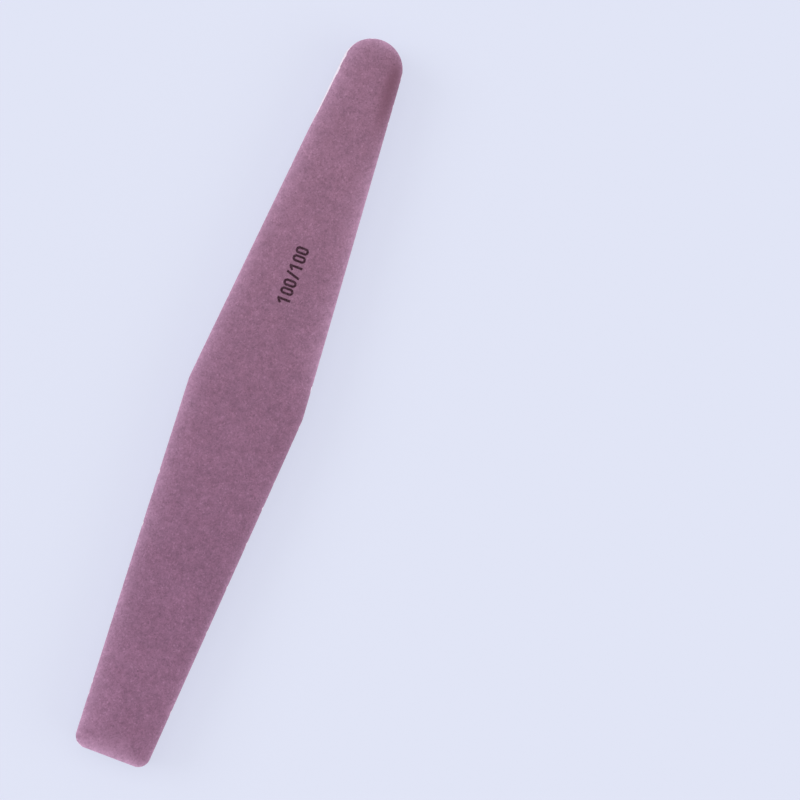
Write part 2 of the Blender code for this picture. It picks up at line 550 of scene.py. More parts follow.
# The ink, which misses the deepest pits and sticks less to some grains
INK_COLOUR = (0.025, 0.005, 0.012)
INK_COVER = 0.98
INK_RAGGED = 0.26 * MM  # between the most and the least that crumbs push its edge out
INK_EDGE = (-0.10 * MM, 0.08 * MM)
INK_PITS, INK_PIT_SHARES = (0.4, 1.0), (1.0, 0.72)
INK_BARE_GRAINS, INK_BARE_SHARES = (0.0, 0.2), (0.78, 1.0)


def inked(paint, colour, crumb, grain, depth):
    """The colour of the grit with the printed number over it."""
    ragged = paint.times(paint.math("SUBTRACT", crumb, CLOUD_MIDDLE), INK_RAGGED)
    edge = paint.math("ADD", print_distance(paint), ragged)
    ink = paint.fit(edge, INK_EDGE, (1.0, 0.0), smooth=True)
    on_pits = paint.fit(depth, INK_PITS, INK_PIT_SHARES)
    on_grains = paint.fit(grain, INK_BARE_GRAINS, INK_BARE_SHARES)
    return paint.mix(paint.times(ink, on_pits, INK_COVER, on_grains), colour, INK_COLOUR)


def grit_material(name, printed):
    """Abrasive grains in a mauve binder: each grain its own shade, with painted shade in the pits
    and toward the -Y side, a paler rim from wear and painted highlight, and a painted shadow near
    the narrow end.
    """
    paint = Paint(name, Specular_IOR_Level=GRIT_SPECULAR)
    grain = paint.cells(GRAIN_SIZE)
    crumb = paint.cloud(CRUMB_SIZE, detail=1.0)
    patch = paint.cloud(PATCH_SIZE)
    depth = paint.mark("grain_depth")
    x = paint.axis("X")
    shade = paint.times(
        paint.fit(grain, WHOLE, GRAIN_SHADES),
        paint.fit(crumb, CLOUD, CRUMB_SHADES),
        paint.fit(patch, CLOUD, PATCH_SHADES),
        paint.fit(paint.cloud(DRIFT_SIZE), CLOUD, DRIFT_SHADES),
        # painted shade in the pits
        paint.fit(depth, WHOLE, PAINTED_PIT_SHADES),
        # painted shade across the face
        paint.fit(paint.axis("Y"), SIDES_Y, PAINTED_SIDE_SHADES),
        paint.fit(x, BLUNT_END_X, BLUNT_END_SHADES),
    )
    rare = ((grain, RARE_GRAIN_SHADES), (paint.cells(FLECK_SIZE), RARE_FLECK_SHADES))
    for cells, (dark, pale) in rare:
        darkened = paint.fit(cells, (0.0, RARE_SHARE), (dark, 1.0))
        shade = paint.times(shade, darkened, paint.fit(cells, (1.0 - RARE_SHARE, 1.0), (1.0, pale)))

    colour = paint.mix(paint.fit(x, GRIT_HALVES_X, WHOLE), GRIT_WIDE_HALF, GRIT_NARROW_HALF)
    tint = paint.fit(paint.cloud(TINT_SIZE, detail=1.0), CLOUD_NARROW, TINT_SHARES)
    colour = paint.dim(paint.mix(tint, colour, GRIT_COOL), shade)
    # painted shadow near the narrow end's -Y shoulder
    painted_shadow = paint.times(paint.mark("painted_shadow"), paint.fit(patch, CLOUD_WIDE, PAINTED_SHADOW_PATCH_SHARES))
    colour = paint.mix(painted_shadow, colour, GRIT_PAINTED_SHADOW)
    # paler rim, partly wear and partly painted highlight
    by_grain = paint.fit(grain, WHOLE, WEAR_AND_HIGHLIGHT_GRAIN_SHARES)
    by_patch = paint.fit(patch, CLOUD_WIDE, WEAR_AND_HIGHLIGHT_PATCH_SHARES)
    colour = paint.mix(paint.times(paint.mark("wear_and_highlight"), by_grain, by_patch), colour, GRIT_WEAR_AND_HIGHLIGHT)
    if printed:
        colour = inked(paint, colour, crumb, grain, depth)

    glint = paint.times(paint.fit(grain, GLINT_GRAINS, WHOLE), GLINT_SMOOTHNESS)
    roughness = paint.math("SUBTRACT", paint.fit(crumb, CLOUD_WIDE, GRIT_ROUGHNESS), glint)
    normal = paint.bump(paint.cloud(POCK_SIZE, detail=1.0), POCK_DEPTH)
    return paint.finish(Base_Color=colour, Roughness=roughness, Normal=normal)


PAPER_COLOUR = (0.78, 0.62, 0.88)
# near white where the paper shows past the grit: partly rubbing, partly painted highlight
PAPER_RUBBED_HIGHLIGHT = (0.95, 0.86, 0.96)
PAPER_SPECULAR = 0.3
PAPER_ROUGHNESS = (0.78, 0.92)
FIBRE_LENGTH, FIBRE_THICKNESS, FIBRE_DEPTH = 0.9 * MM, 0.06 * MM, 0.02 * MM
FIBRE_SHADES = (0.88, 1.06)
PAPER_FLECK_SIZE, PAPER_FLECK_SHADES = 0.25 * MM, (0.95, 1.03)
RUBBED_HIGHLIGHT_FLECKS, RUBBED_HIGHLIGHT_SHARES = (0.3, 0.6), (0.75, 1.0)


def paper_material():
    """Pale latex paper: its cut edge shows fibres, and its face, which shows only where the grit
    stops short, is near white: partly paler from rubbing and partly a painted highlight.
    """
    paint = Paint("backing_paper", Specular_IOR_Level=PAPER_SPECULAR)
    lie = paint.stretched(FIBRE_LENGTH, FIBRE_LENGTH, FIBRE_THICKNESS)
    fibres = paint.cloud(1.0, detail=3.0, roughness=0.7, place=lie)
    fleck = paint.cloud(PAPER_FLECK_SIZE)
    fleck_shade = paint.fit(fleck, CLOUD_NARROW, PAPER_FLECK_SHADES)
    shade = paint.times(paint.fit(fibres, CLOUD, FIBRE_SHADES), fleck_shade)
    # partly rubbing, partly painted highlight
    rubbed_highlight = paint.times(paint.mark("outer_face"), paint.fit(fleck, RUBBED_HIGHLIGHT_FLECKS, RUBBED_HIGHLIGHT_SHARES))
    colour = paint.dim(paint.mix(rubbed_highlight, PAPER_COLOUR, PAPER_RUBBED_HIGHLIGHT), shade)
    roughness = paint.fit(fleck, CLOUD, PAPER_ROUGHNESS)
    normal = paint.bump(fibres, FIBRE_DEPTH)
    return paint.finish(Base_Color=colour, Roughness=roughness, Normal=normal)


FOAM_COLOUR = (0.185, 0.056, 0.290)
# painted highlight on the walls of the cut cells
FOAM_WALL_HIGHLIGHT = (0.280, 0.100, 0.390)
FOAM_TONES = {"purple_foam_paler": 1.10, "purple_foam": 0.92}  # of the upper pad and the lower
FOAM_SPECULAR, FOAM_SHEEN, FOAM_SHEEN_ROUGHNESS = 0.25, 0.12, 0.5
FOAM_ROUGHNESS = (0.9, 0.72)
CELL_SIZE, BIG_CELL_SIZE, CELL_DEPTH = 0.24 * MM, 0.55 * MM, 0.03 * MM
CELL_WALL_HIGHLIGHT_SHARE = 0.35  # of the painted highlight colour in the walls of the cells
FOAM_FLECK_SIZE, FOAM_FLECK_SHADES = 0.3 * MM, (0.92, 1.08)
FOAM_DRIFT_SIZE, FOAM_DRIFT = 7.0 * MM, 0.07
ARRIS_SHADE = 0.82  # along the pad's edges


def foam_material(name):
    """Fine closed-cell foam, cut open: dark cells whose walls carry a painted highlight, in a
    drifting purple.
    """
    paint = Paint(
        name,
        Specular_IOR_Level=FOAM_SPECULAR,
        Sheen_Weight=FOAM_SHEEN,
        Sheen_Roughness=FOAM_SHEEN_ROUGHNESS,
    )
    tone = FOAM_TONES[name]
    cell = paint.cells(CELL_SIZE, "Distance")
    drifting = ((1.0 - FOAM_DRIFT) * tone, (1.0 + FOAM_DRIFT) * tone)
    shade = paint.times(
        paint.fit(paint.cloud(FOAM_DRIFT_SIZE), CLOUD, drifting),
        paint.fit(paint.cells(FOAM_FLECK_SIZE), WHOLE, FOAM_FLECK_SHADES),
        paint.fit(paint.mark("arris"), WHOLE, (1.0, ARRIS_SHADE)),
    )
    # painted highlight on the cell walls
    walls = paint.times(paint.fit(cell, CLOUD, WHOLE, smooth=True), CELL_WALL_HIGHLIGHT_SHARE)
    colour = paint.dim(paint.mix(walls, FOAM_COLOUR, FOAM_WALL_HIGHLIGHT), shade)
    roughness = paint.fit(cell, CLOUD_WIDE, FOAM_ROUGHNESS)
    normal = paint.bump(paint.cells(BIG_CELL_SIZE, "Distance"), CELL_DEPTH)
    normal = paint.bump(cell, CELL_DEPTH, below=normal)
    return paint.finish(Base_Color=colour, Roughness=roughness, Normal=normal)


CORE_COLOUR = (0.95, 0.83, 0.95)
CORE_IOR = 1.5
CORE_ROUGHNESS = (0.38, 0.52)
SCORE_WIDTH, SCORE_LENGTH, SCORE_DEPTH = 0.12 * MM, 3.0 * MM, 0.012 * MM
SCORE_SHADES = (0.95, 1.03)
HAZE_SIZE, HAZE_SHADES = 2.5 * MM, (0.97, 1.02)


def core_material():
    """White plastic with a satin cut edge, scored lightly by the die."""
    paint = Paint("core_plastic", IOR=CORE_IOR)
    scores = paint.cloud(1.0, place=paint.stretched(SCORE_WIDTH, SCORE_WIDTH, SCORE_LENGTH))
    haze = paint.cloud(HAZE_SIZE)
    scored = paint.fit(scores, CLOUD_NARROW, SCORE_SHADES)
    colour = paint.dim(CORE_COLOUR, paint.times(scored, paint.fit(haze, CLOUD, HAZE_SHADES)))
    roughness = paint.fit(haze, CLOUD, CORE_ROUGHNESS)
    normal = paint.bump(scores, SCORE_DEPTH)
    return paint.finish(Base_Color=colour, Roughness=roughness, Normal=normal)


ADHESIVE_COLOUR = (0.55, 0.46, 0.60)
ADHESIVE_IOR = 1.48
ADHESIVE_ROUGHNESS = (0.22, 0.5)
DUST_SIZE, DUST_SHADES, DUST_DEPTH = 0.4 * MM, (0.82, 1.08), 0.01 * MM


def adhesive_material():
    """A thin clear film of adhesive, which has picked up a little dust."""
    paint = Paint("adhesive_film", IOR=ADHESIVE_IOR)
    dust = paint.cloud(DUST_SIZE, detail=3.0, roughness=0.6)
    colour = paint.dim(ADHESIVE_COLOUR, paint.fit(dust, CLOUD, DUST_SHADES))
    roughness = paint.fit(dust, CLOUD_NARROW, ADHESIVE_ROUGHNESS)
    normal = paint.bump(dust, DUST_DEPTH)
    return paint.finish(Base_Color=colour, Roughness=roughness, Normal=normal)


def offset_ring(offset):
    """The rim moved inwards by offset, which is one number or one for each rim point."""
    return RIM - RIM_OUT * np.broadcast_to(offset, len(RIM))[:, None]


def hidden_points():
    """A few points inside a face that nothing shows, for its rolled rim."""
    rings = [offset_ring(inset)[::HIDDEN_STRIDE] for inset in HIDDEN_INSETS]
    insets = np.repeat(HIDDEN_INSETS, len(rings[0]))
    return np.concatenate(rings), insets


def add_plain_face(skin, face, offset, rows, upward):
    """Adds a face without relief, given as its height and whether its rim rolls, 0 or 1.

    offset is how far in from the rim it ends. Returns its ring's numbers and heights.
    """
    height, rolled = face
    inner, insets = hidden_points()
    kept = insets > offset.max()
    inner, insets = inner[kept], insets[kept]
    ring_height = height - rolled * rim_drop(offset)
    inner_height = height - rolled * rim_drop(insets)
    ring = skin.add_face(offset_ring(offset), ring_height, inner, inner_height, 1, rows, upward)
    return ring, ring_height


def add_shown_wall(skin, low, high, steps, offset_at, strips):
    """Adds the cut edge of a layer, and returns its rings of point numbers.

    low and high are its first and last ring, each as numbers and heights, with steps rows of
    triangles between. offset_at(share, height) is how far in it lies, at a share of its height.
    """
    (low_ring, low_height), (high_ring, high_height) = low, high
    rings = [low_ring]
    for step in range(1, steps):
        share = step / steps
        height = low_height + (high_height - low_height) * share
        rings.append(skin.add_points(offset_ring(offset_at(share, height)), height))
    rings.append(high_ring)
    skin.add_wall(rings, strips, SHOWN_ROWS)
    return rings


# The core's cut edge: scored, torn in its upper part, and with a soft lip at each face
CORE_STEPS, CORE_STRIPS = 10, 12
CORE_INSET = 0.01 * MM
CORE_SCORE_DEPTH, CORE_SCORE_SIZE = 0.008 * MM, 0.35 * MM
CORE_TEAR_DEPTH, CORE_TEAR_SIZE = 0.012 * MM, 0.7 * MM
CORE_TEAR_START, CORE_TEAR_FULL = 0.45, 0.6  # shares of the edge's height
CORE_LIP, CORE_LIP_SHARE = 0.07 * MM, 0.10


def make_core(material):
    skin = Skin()
    low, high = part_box("core_plate")[0].z, LEVEL["core"]
    scores = uneven(CORE_SCORE_DEPTH, CORE_SCORE_SIZE, seed=3.0)
    torn = uneven(CORE_TEAR_DEPTH, CORE_TEAR_SIZE, seed=7.0, detail=3)

    def offset(share, height):
        upper_lip = smooth_step(share, 1.0 - CORE_LIP_SHARE, 1.0)
        lower_lip = smooth_step(-share, -CORE_LIP_SHARE, 0.0)
        tear = torn * smooth_step(share, CORE_TEAR_START, CORE_TEAR_FULL)
        return scores + tear + CORE_LIP * (upper_lip + lower_lip) + CORE_INSET

    bottom = add_plain_face(skin, (low, 0), offset(0.0, low), FIRST_SPARE_ROWS, False)
    top = add_plain_face(skin, (high, 0), offset(1.0, high), SECOND_SPARE_ROWS, True)
    add_shown_wall(skin, bottom, top, CORE_STEPS, offset, CORE_STRIPS)
    skin.make("core", material, "core_plate", "core_plastic")


FILM_STRIPS = 8


def make_film(name, inner_face, outer_face, offset, material, slot, steps=2):
    """A thin layer between two faces, on both sides of the board, with its edge offset inwards."""
    skin = Skin()
    bottom = add_plain_face(skin, inner_face, offset, FIRST_SPARE_ROWS, False)
    top = add_plain_face(skin, outer_face, offset, SECOND_SPARE_ROWS, True)
    outer_points = np.arange(top[0][0], skin.total)
    add_shown_wall(skin, bottom, top, steps, lambda share, height: offset, FILM_STRIPS)
    mark = np.zeros(skin.total)
    mark[outer_points] = 1.0
    marks = [("outer_face", mark)]
    for side, turned in (("upper", False), ("lower", True)):
        skin.make(f"{side}_{name}_film", material, f"{side}_{name}", slot, turned, marks=marks)


# The foam's cut edge, which bows inwards between its faces and is pitted with cut cells
FOAM_STEPS, FOAM_STRIPS = 22, 9
FOAM_BOW = 0.11 * MM
FOAM_WANDER, FOAM_WANDER_SIZE = 0.02 * MM, 6.0 * MM
FOAM_PIT_DEPTH, FOAM_PIT_SIZE = 0.05 * MM, 0.5 * MM
FOAM_ARRIS_START = 0.78  # of the way from the middle of the edge to a face


def foam_pits(height):
    """How deep the cut cells of the foam reach, at each rim point and a height there."""
    size = FOAM_PIT_SIZE
    found = [noise.voronoi((x / size, y / size, z / size))[0][0] for (x, y), z in zip(RIM, height)]
    return FOAM_PIT_DEPTH * np.clip(1.0 - np.array(found), 0.0, 1.0)


def make_foam(materials):
    skin = Skin()
    low, high = LEVEL["core_adhesive"], LEVEL["foam"]
    wander = uneven(FOAM_WANDER, FOAM_WANDER_SIZE, seed=11.0, detail=2)

    def offset(share, height):
        bow = FOAM_BOW * (1.0 - (2.0 * share - 1.0) ** 2)
        return wander + bow + foam_pits(height)

    low_edge = np.full(len(RIM), low)
    high_edge = np.full(len(RIM), high - RIM_DROP)
    bottom = add_plain_face(skin, (low, 0), offset(0.0, low_edge), FIRST_SPARE_ROWS, False)
    top = add_plain_face(skin, (high, 1), offset(1.0, high_edge), SECOND_SPARE_ROWS, True)
    rings = add_shown_wall(skin, bottom, top, FOAM_STEPS, offset, FOAM_STRIPS)
    arris = np.zeros(skin.total)
    for step, ring in enumerate(rings):
        from_middle = abs(2.0 * step / FOAM_STEPS - 1.0)
        arris[ring] = smooth_step(from_middle, FOAM_ARRIS_START, 1.0)
    marks = [("arris", arris)]
    for side, turned, material in zip(("upper", "lower"), (False, True), materials):
        piece = skin.make(
            f"{side}_foam_pad", material, f"{side}_foam", "purple_foam", turned, marks=marks
        )


# How pale the rim is, from 0 to 1, and how far in: partly wear and partly painted highlight. It is
# palest on the +Y side, which faces the key light, and round the narrow end, least on the -Y side,
# and in its own way on the blunt end, whose pale rim is partly painted highlight too. Where a hand
# holds the -Y side, it is as pale as the other one.
WEAR_AND_HIGHLIGHT_MOST, WEAR_AND_HIGHLIGHT_MOST_WIDTH = 0.38, 1.9 * MM
WEAR_AND_HIGHLIGHT_LEAST, WEAR_AND_HIGHLIGHT_LEAST_WIDTH = 0.24, 0.75 * MM
WEAR_AND_HIGHLIGHT_BLUNT_END, WEAR_AND_HIGHLIGHT_BLUNT_END_WIDTH = 0.55, 2.2 * MM
WEAR_AND_HIGHLIGHT_BLUNT_END_LEAN = 0.6  # how much wider at its +Y corner, and narrower at the other
WORN_ARRIS, WORN_ARRIS_WIDTH = 0.14, 0.45 * MM  # added right at the rim, all round
WORN_CUT_EDGE = 0.9  # on the lower arris of the grit's cut edge
PALENESS_HIDDEN_BY_PAINTED_SHADOW = 0.7  # share of the rim's paleness that the full painted shadow hides
WEAR_AND_HIGHLIGHT_DRIFT, WEAR_AND_HIGHLIGHT_DRIFT_SIZE = 0.25, 5.0 * MM
WEAR_AND_HIGHLIGHT_WIDTH_DRIFT, WEAR_AND_HIGHLIGHT_WIDTH_DRIFT_SIZE = 0.3, 8.0 * MM
HANDLED_FROM_X, HANDLED_RISE = 1.0 * MM, 14.0 * MM
HANDLED_TO_X, HANDLED_FALL = 68.0 * MM, 14.0 * MM
WAIST_SPARED, WAIST_SPARED_X, WAIST_SPARED_REACH = 0.55, -6.0 * MM, 14.0 * MM

# Outward directions, as a share along X or Y, over which the rim comes to face a side or an end
FACES_MOST_WORN_AND_LIT = (-0.75, -0.15)
FACES_BLUNT_END = (0.5, 0.95)
FACES_BARE_SHOULDER = (0.35, 0.75)
FACES_SHADOWED_SHOULDER = (0.4, 0.9)

# The grit's broken edge: fine crumbs all along, and a flake missing here and there
CHIP_LEAST = 0.02 * MM
CHIP_DEPTH, CHIP_SIZE = 0.045 * MM, 0.5 * MM
FLAKE_DEPTH, FLAKE_SIZE, FLAKE_NOISE = 0.15 * MM, 2.2 * MM, (0.36, 0.75)

# The +Y shoulder of the narrow end shows the paper where the grit stops short of the rim, a pale
# line that is partly a painted highlight, and the other shoulder carries a painted shadow
BARE_FROM_X, BARE_RISE = 63.0 * MM, 8.0 * MM
BARE_TO_X, BARE_FALL = 87.0 * MM, 4.0 * MM
BARE_WIDTH = 0.30 * MM
BARE_SHARE, BARE_DRIFT, BARE_DRIFT_SIZE = 0.95, 0.25, 2.5 * MM
PAINTED_SHADOW_FROM_X, PAINTED_SHADOW_RISE = 62.5 * MM, 17.0 * MM
PAINTED_SHADOW_TO_X, PAINTED_SHADOW_FALL = 88.5 * MM, 6.0 * MM
PAINTED_SHADOW_INSET, PAINTED_SHADOW_WIDTH = 1.65 * MM, 2.0 * MM


def rim_stretch(start, rise, end, fall):
    """A stretch of the rim by X, from 0 to 1: it rises from start on, and has fallen at end."""
    return smooth_step(RIM_X, start, start + rise) * (1.0 - smooth_step(RIM_X, end - fall, end))


def chipped_edge():
    """How far the grit stops short of the rim, at each rim point."""
    crumbs = CHIP_DEPTH * np.abs(rim_noise(CHIP_SIZE, seed=21.0, detail=2))
    flakes = FLAKE_DEPTH * smooth_step(rim_noise(FLAKE_SIZE, seed=23.0, detail=2), *FLAKE_NOISE)
    bare = rim_stretch(BARE_FROM_X, BARE_RISE, BARE_TO_X, BARE_FALL)
    bare *= smooth_step(RIM_OUT_Y, *FACES_BARE_SHOULDER)
    bare *= BARE_SHARE + BARE_DRIFT * rim_noise(BARE_DRIFT_SIZE, seed=25.0, detail=3)
    return CHIP_LEAST + crumbs + flakes + BARE_WIDTH * np.clip(bare, 0.0, 1.0)


def painted_shadow_rim():
    """Where the rim carries the painted shadow, from 0 to 1, at each rim point."""
    stretch = rim_stretch(PAINTED_SHADOW_FROM_X, PAINTED_SHADOW_RISE, PAINTED_SHADOW_TO_X, PAINTED_SHADOW_FALL)
    return stretch * smooth_step(-RIM_OUT_Y, *FACES_SHADOWED_SHOULDER)


def wear_and_highlight_share(points, inset):
    """How pale the grit is from wear and painted highlight, from 0 to 1, at points and their
    distances in from the rim.
    """
    handled = rim_stretch(HANDLED_FROM_X, HANDLED_RISE, HANDLED_TO_X, HANDLED_FALL)
    facing = np.maximum(smooth_step(RIM_OUT_Y, *FACES_MOST_WORN_AND_LIT), handled)
    blunt = smooth_step(-RIM_OUT_X, *FACES_BLUNT_END)

    waist = np.exp(-(((RIM_X - WAIST_SPARED_X) / WAIST_SPARED_REACH) ** 2))
    least = WEAR_AND_HIGHLIGHT_LEAST * (1.0 - WAIST_SPARED * waist)
    most = least + (WEAR_AND_HIGHLIGHT_MOST - least) * facing
    most = most + (WEAR_AND_HIGHLIGHT_BLUNT_END - most) * blunt
    most = most * (1.0 + WEAR_AND_HIGHLIGHT_DRIFT * rim_noise(WEAR_AND_HIGHLIGHT_DRIFT_SIZE, seed=31.0, detail=2))
    most = most * (1.0 - PALENESS_HIDDEN_BY_PAINTED_SHADOW * painted_shadow_rim())

    width = WEAR_AND_HIGHLIGHT_LEAST_WIDTH + (WEAR_AND_HIGHLIGHT_MOST_WIDTH - WEAR_AND_HIGHLIGHT_LEAST_WIDTH) * facing
    lean = 1.0 + WEAR_AND_HIGHLIGHT_BLUNT_END_LEAN * RIM[:, 1] / WIDE_END_WIDTH
    width = width + (WEAR_AND_HIGHLIGHT_BLUNT_END_WIDTH * lean - width) * blunt
    drift = rim_noise(WEAR_AND_HIGHLIGHT_WIDTH_DRIFT_SIZE, seed=33.0, detail=2)
    width = width * (1.0 + WEAR_AND_HIGHLIGHT_WIDTH_DRIFT * drift)

    wear_and_highlight = over_face(most, points) * np.exp(-inset / over_face(width, points))
    return np.clip(wear_and_highlight + WORN_ARRIS * np.exp(-inset / WORN_ARRIS_WIDTH), 0.0, 1.0)


def painted_shadow_share(points, inset):
    """The painted shadow: a darker band inside the rim, near the narrow end."""
    band = np.exp(-(((inset - PAINTED_SHADOW_INSET) / PAINTED_SHADOW_WIDTH) ** 2))
    return over_face(painted_shadow_rim(), points) * band


# Relief of the grit, and its strips on the bake map
GRAIN_DEPTH = 0.075 * MM
GRAIN_BIAS = 1.4  # power that keeps more of the grains high than deep
RIM_GRAIN_LEAST = 0.3  # of a grain's depth, at the rim
PLAIN_GRAIN = 0.5  # of a grain's depth, for the colour at the rim and on the hidden face
CLUMP_SIZE, CLUMP_DEPTH, CLUMP_SEED = 0.9 * MM, 0.03 * MM, 41.0
CLUMP_MIDDLE = 0.5  # of a clump's depth, where the noise is 0
CROWN_WIDTH, CROWN_DROP = 6.5 * MM, 0.06 * MM
GRIT_STRIPS, GRIT_WALL_STRIPS = 3, 6
TRIANGLE_HEIGHT = math.sqrt(3.0) / 2.0  # of its side, for rows of evenly spaced grains
CHIP_REACH = 2  # rim points to each side, whose chips the grains keep clear of
RANDOM_SEED = 100


def grain_points(chip):
    """Scattered points on the grit, from above, clear of its chipped edge."""
    random = np.random.default_rng(RANDOM_SEED)
    low, high = CAD_BOX
    across = np.arange(low.x, high.x, GRAIN_STEP)
    up = np.arange(low.y, high.y, GRAIN_STEP * TRIANGLE_HEIGHT)
    x, y = np.meshgrid(across, up)
    x = x + GRAIN_STEP / 2.0 * (np.arange(len(up)) % 2)[:, None]
    points = np.column_stack([x.ravel(), y.ravel()])
    points += random.uniform(-GRAIN_JITTER, GRAIN_JITTER, points.shape) * GRAIN_STEP
    near, inset = rim_nearest(points)
    shifts = range(-CHIP_REACH, CHIP_REACH + 1)
    reach = np.max([np.roll(chip, shift) for shift in shifts], axis=0)
    kept = inset > reach[near] + GRAIN_STEP / 2.0
    return points[kept], inset[kept], random


def make_grit(materials):
    skin = Skin()
    low, high = LEVEL["abrasive_backing"], LEVEL["grit_coat"]
    chip = chipped_edge()
    ring = offset_ring(chip)
    grains, inset, random = grain_points(chip)
    depth = random.random(len(grains)) ** GRAIN_BIAS
    clumps = [noise.noise((x / CLUMP_SIZE, y / CLUMP_SIZE, CLUMP_SEED)) for x, y in grains]
    clump_depth = CLUMP_DEPTH * np.clip(CLUMP_MIDDLE - np.array(clumps), 0.0, 1.0)
    relief = GRAIN_DEPTH * depth + clump_depth
    crown = CROWN_DROP * np.clip(1.0 - inset / CROWN_WIDTH, 0.0, 1.0) ** 2
    height = high - rim_drop(inset) - crown - relief
    ring_depth = RIM_GRAIN_LEAST + (1.0 - RIM_GRAIN_LEAST) * random.random(len(RIM))
    ring_height = high - rim_drop(chip) - CROWN_DROP - GRAIN_DEPTH * ring_depth
    bottom, _ = add_plain_face(skin, (low, 1), chip, FIRST_SPARE_ROWS, False)
    top = skin.add_face(ring, ring_height, grains, height, GRIT_STRIPS, SHOWN_ROWS, True)
    skin.add_wall([bottom, top], GRIT_WALL_STRIPS, SECOND_SPARE_ROWS)

    # Marks for the colour: the rim's paleness, partly wear and partly painted highlight, the
    # painted shadow, and the grains' depth
    wear_and_highlight = np.zeros(skin.total)
    painted_shadow = np.zeros(skin.total)
    grain_depth = np.full(skin.total, PLAIN_GRAIN)
    first_grain = top[-1] + 1
    wear_and_highlight[bottom] = WORN_CUT_EDGE
    wear_and_highlight[top] = wear_and_highlight_share(ring, chip)
    wear_and_highlight[first_grain:] = wear_and_highlight_share(grains, inset)
    painted_shadow[top] = painted_shadow_share(ring, chip)
    painted_shadow[first_grain:] = painted_shadow_share(grains, inset)
    grain_depth[first_grain:] = depth
    finish = {
        "smooth": False,
        "marks": [("wear_and_highlight", wear_and_highlight), ("painted_shadow", painted_shadow), ("grain_depth", grain_depth)],
    }
    for side, turned, material in zip(("upper", "lower"), (False, True), materials):
        skin.make(f"{side}_grit", material, f"{side}_grit_coat", "mauve_grit", turned, **finish)


# How far the films stop short of the rim, and the frayed edge of the paper
SEEP_DEPTH, SEEP_SIZE, SEEP_MIDDLE = 0.05 * MM, 3.0 * MM, 1.1
FRAY_DEPTH, FRAY_SIZE = 0.015 * MM, 0.45 * MM


def make_board():
    # Each outer face, as its height and whether its rim rolls
    face = {name: (LEVEL[name], 0) for name in ("core", "core_adhesive")}
    face.update({name: (LEVEL[name], 1) for name in ("foam", "face_adhesive", "abrasive_backing")})
    adhesive = adhesive_material()
    make_core(core_material())
    seep = uneven(SEEP_DEPTH, SEEP_SIZE, seed=51.0, detail=3, middle=SEEP_MIDDLE)
    make_film("core_adhesive", face["core"], face["core_adhesive"], seep, adhesive, "adhesive_film")
    make_foam([foam_material(name) for name in FOAM_TONES])
    seep = uneven(SEEP_DEPTH, SEEP_SIZE, seed=53.0, detail=3, middle=SEEP_MIDDLE)
    make_film("face_adhesive", face["foam"], face["face_adhesive"], seep, adhesive, "adhesive_film")
    fray = uneven(FRAY_DEPTH, FRAY_SIZE, seed=55.0, detail=3)
    make_film(
        "abrasive_backing",
        face["face_adhesive"],
        face["abrasive_backing"],
        fray,
        paper_material(),
        "backing_paper",
        steps=3,
    )
    make_grit([grit_material("mauve_grit_printed", True), grit_material("mauve_grit", False)])


# Linear colour of the seamless ground, and how much of the floor's look is its own light
GROUND_COLOUR = (0.752, 0.783, 0.922)
FLOOR_GLOW = 0.70
FLOOR_HALF_SIZE = 60.0
FLOOR_GAP = 0.03 * MM  # below the lowest grains

# Shares of the light on a level surface, which add up to 1
AMBIENT_SHARE = 0.50
KEY_SHARE = 0.22
FILL_SHARE = 0.12
TOP_SHARE = 0.16

# How high each lamp stands, and how broad it looks from the board
KEY_HEIGHT, KEY_BREADTH = math.radians(42.0), math.radians(40.0)
FILL_HEIGHT, FILL_BREADTH = math.radians(36.0), math.radians(50.0)
TOP_HEIGHT, TOP_BREADTH = math.radians(80.0), math.radians(40.0)

# The key stands to the picture's left, and toward its top by this share of that. The fill is
# opposite.
KEY_TOWARD_TOP = 0.35

# The camera looks down on the board, which leans across the picture
CAMERA_LENS = 200.0
CAMERA_SENSOR = 36.0
PICTURE_WIDTH = 185.66 * MM  # at the upper face
BOARD_LEAN = math.radians(20.92)  # of the board's length from the picture's upright
BOARD_MIDDLE_RIGHT = -35.75 * MM  # from the middle of the picture
BOARD_MIDDLE_UP = 0.4 * MM


def emptied_tree(owner):
    """The node tree of a new material or world, without the nodes it comes with."""
    owner.use_nodes = True
    owner.node_tree.nodes.clear()
    return owner.node_tree


def make_floor():
    half, height = FLOOR_HALF_SIZE, CAD_BOX[0].z - FLOOR_GAP
    corners = [(x * half, y * half, height) for x, y in ((-1, -1), (1, -1), (1, 1), (-1, 1))]
    mesh = bpy.data.meshes.new("floor")
    mesh.from_pydata(corners, [], [(0, 1, 2, 3)])
    floor = bpy.data.objects.new("floor", mesh)
    bpy.context.scene.collection.objects.link(floor)
    material = bpy.data.materials.new("floor")
    tree = emptied_tree(material)
    diffuse = tree.nodes.new("ShaderNodeBsdfDiffuse")
    diffuse.inputs["Color"].default_value = (*GROUND_COLOUR, 1.0)
    glow = tree.nodes.new("ShaderNodeEmission")
    glow.inputs["Color"].default_value = (*GROUND_COLOUR, 1.0)
    rays = tree.nodes.new("ShaderNodeLightPath")
    share = tree.nodes.new("ShaderNodeMath")
    share.operation = "MULTIPLY"
    share.inputs[1].default_value = FLOOR_GLOW
    blend = tree.nodes.new("ShaderNodeMixShader")
    out = tree.nodes.new("ShaderNodeOutputMaterial")
    tree.links.new(rays.outputs["Is Camera Ray"], share.inputs[0])
    tree.links.new(share.outputs[0], blend.inputs[0])
    tree.links.new(diffuse.outputs[0], blend.inputs[1])
    tree.links.new(glow.outputs[0], blend.inputs[2])
    tree.links.new(blend.outputs[0], out.inputs["Surface"])
    mesh.materials.append(material)


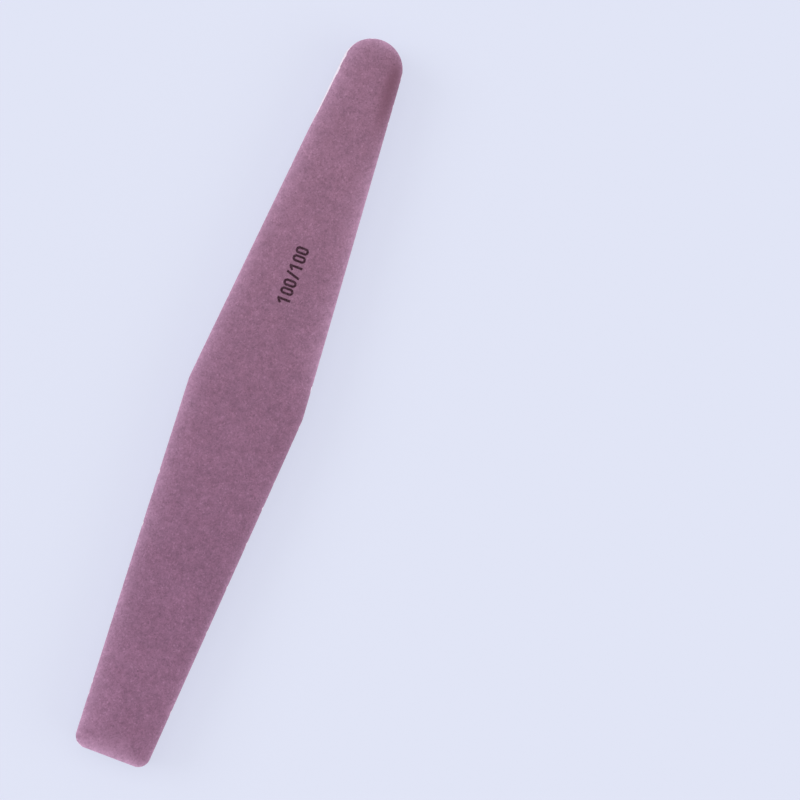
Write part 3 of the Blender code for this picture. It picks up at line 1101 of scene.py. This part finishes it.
def make_world():
    """An even sky that lights the board, and that shows as the ground's colour."""
    world = bpy.data.worlds.new("studio")
    tree = emptied_tree(world)
    light = tree.nodes.new("ShaderNodeBackground")
    light.inputs["Color"].default_value = (1.0, 1.0, 1.0, 1.0)
    light.inputs["Strength"].default_value = AMBIENT_SHARE
    shown = tree.nodes.new("ShaderNodeBackground")
    shown.inputs["Color"].default_value = (*GROUND_COLOUR, 1.0)
    rays = tree.nodes.new("ShaderNodeLightPath")
    seen = rays.outputs["Is Camera Ray"]
    for kind in ("Is Glossy Ray", "Is Transmission Ray"):
        either = tree.nodes.new("ShaderNodeMath")
        either.operation = "ADD"
        either.use_clamp = True
        tree.links.new(seen, either.inputs[0])
        tree.links.new(rays.outputs[kind], either.inputs[1])
        seen = either.outputs[0]
    blend = tree.nodes.new("ShaderNodeMixShader")
    out = tree.nodes.new("ShaderNodeOutputWorld")
    tree.links.new(seen, blend.inputs[0])
    tree.links.new(light.outputs[0], blend.inputs[1])
    tree.links.new(shown.outputs[0], blend.inputs[2])
    tree.links.new(blend.outputs[0], out.inputs["Surface"])
    bpy.context.scene.world = world


def add_sun(name, toward, height, share, breadth):
    """A soft lamp, from a level direction and an angle of height, with a share of the light."""
    lamp = bpy.data.lights.new(name, "SUN")
    lamp.energy = math.pi * share / math.sin(height)
    lamp.angle = breadth
    sun = bpy.data.objects.new(name, lamp)
    level = Vector((*toward, 0.0)).normalized() * math.cos(height)
    source = level + Vector((0.0, 0.0, math.sin(height)))
    sun.rotation_euler = source.to_track_quat("Z", "Y").to_euler()
    bpy.context.scene.collection.objects.link(sun)


def picture_axes():
    """The picture's right and up, as level directions in the board's frame."""
    right = Vector((math.sin(BOARD_LEAN), -math.cos(BOARD_LEAN)))
    up = Vector((math.cos(BOARD_LEAN), math.sin(BOARD_LEAN)))
    return right, up


def make_lights():
    right, up = picture_axes()
    key_side = up * KEY_TOWARD_TOP - right
    add_sun("key", key_side, KEY_HEIGHT, KEY_SHARE, KEY_BREADTH)
    add_sun("fill", -key_side, FILL_HEIGHT, FILL_SHARE, FILL_BREADTH)
    add_sun("top", up, TOP_HEIGHT, TOP_SHARE, TOP_BREADTH)


def make_camera():
    """A long lens above the board, so that no side wall shows, aimed at the picture's middle."""
    right, up = picture_axes()
    data = bpy.data.cameras.new("camera")
    data.lens = CAMERA_LENS
    data.sensor_width = CAMERA_SENSOR
    data.clip_end = 4.0 * FLOOR_HALF_SIZE
    camera = bpy.data.objects.new("camera", data)
    top = CAD_BOX[1].z
    distance = PICTURE_WIDTH * CAMERA_LENS / CAMERA_SENSOR
    aim = (-right * BOARD_MIDDLE_RIGHT - up * BOARD_MIDDLE_UP).to_3d() + Vector((0, 0, top))
    camera.location = (0.0, 0.0, top + distance)
    back = (camera.location - aim).normalized()
    side = up.to_3d().cross(back).normalized()
    camera.rotation_euler = Matrix((side, back.cross(side), back)).transposed().to_euler()
    bpy.context.scene.collection.objects.link(camera)
    bpy.context.scene.camera = camera


make_camera()
make_board()
make_floor()
make_world()
make_lights()
bpy.context.scene.view_settings.view_transform = "Standard"
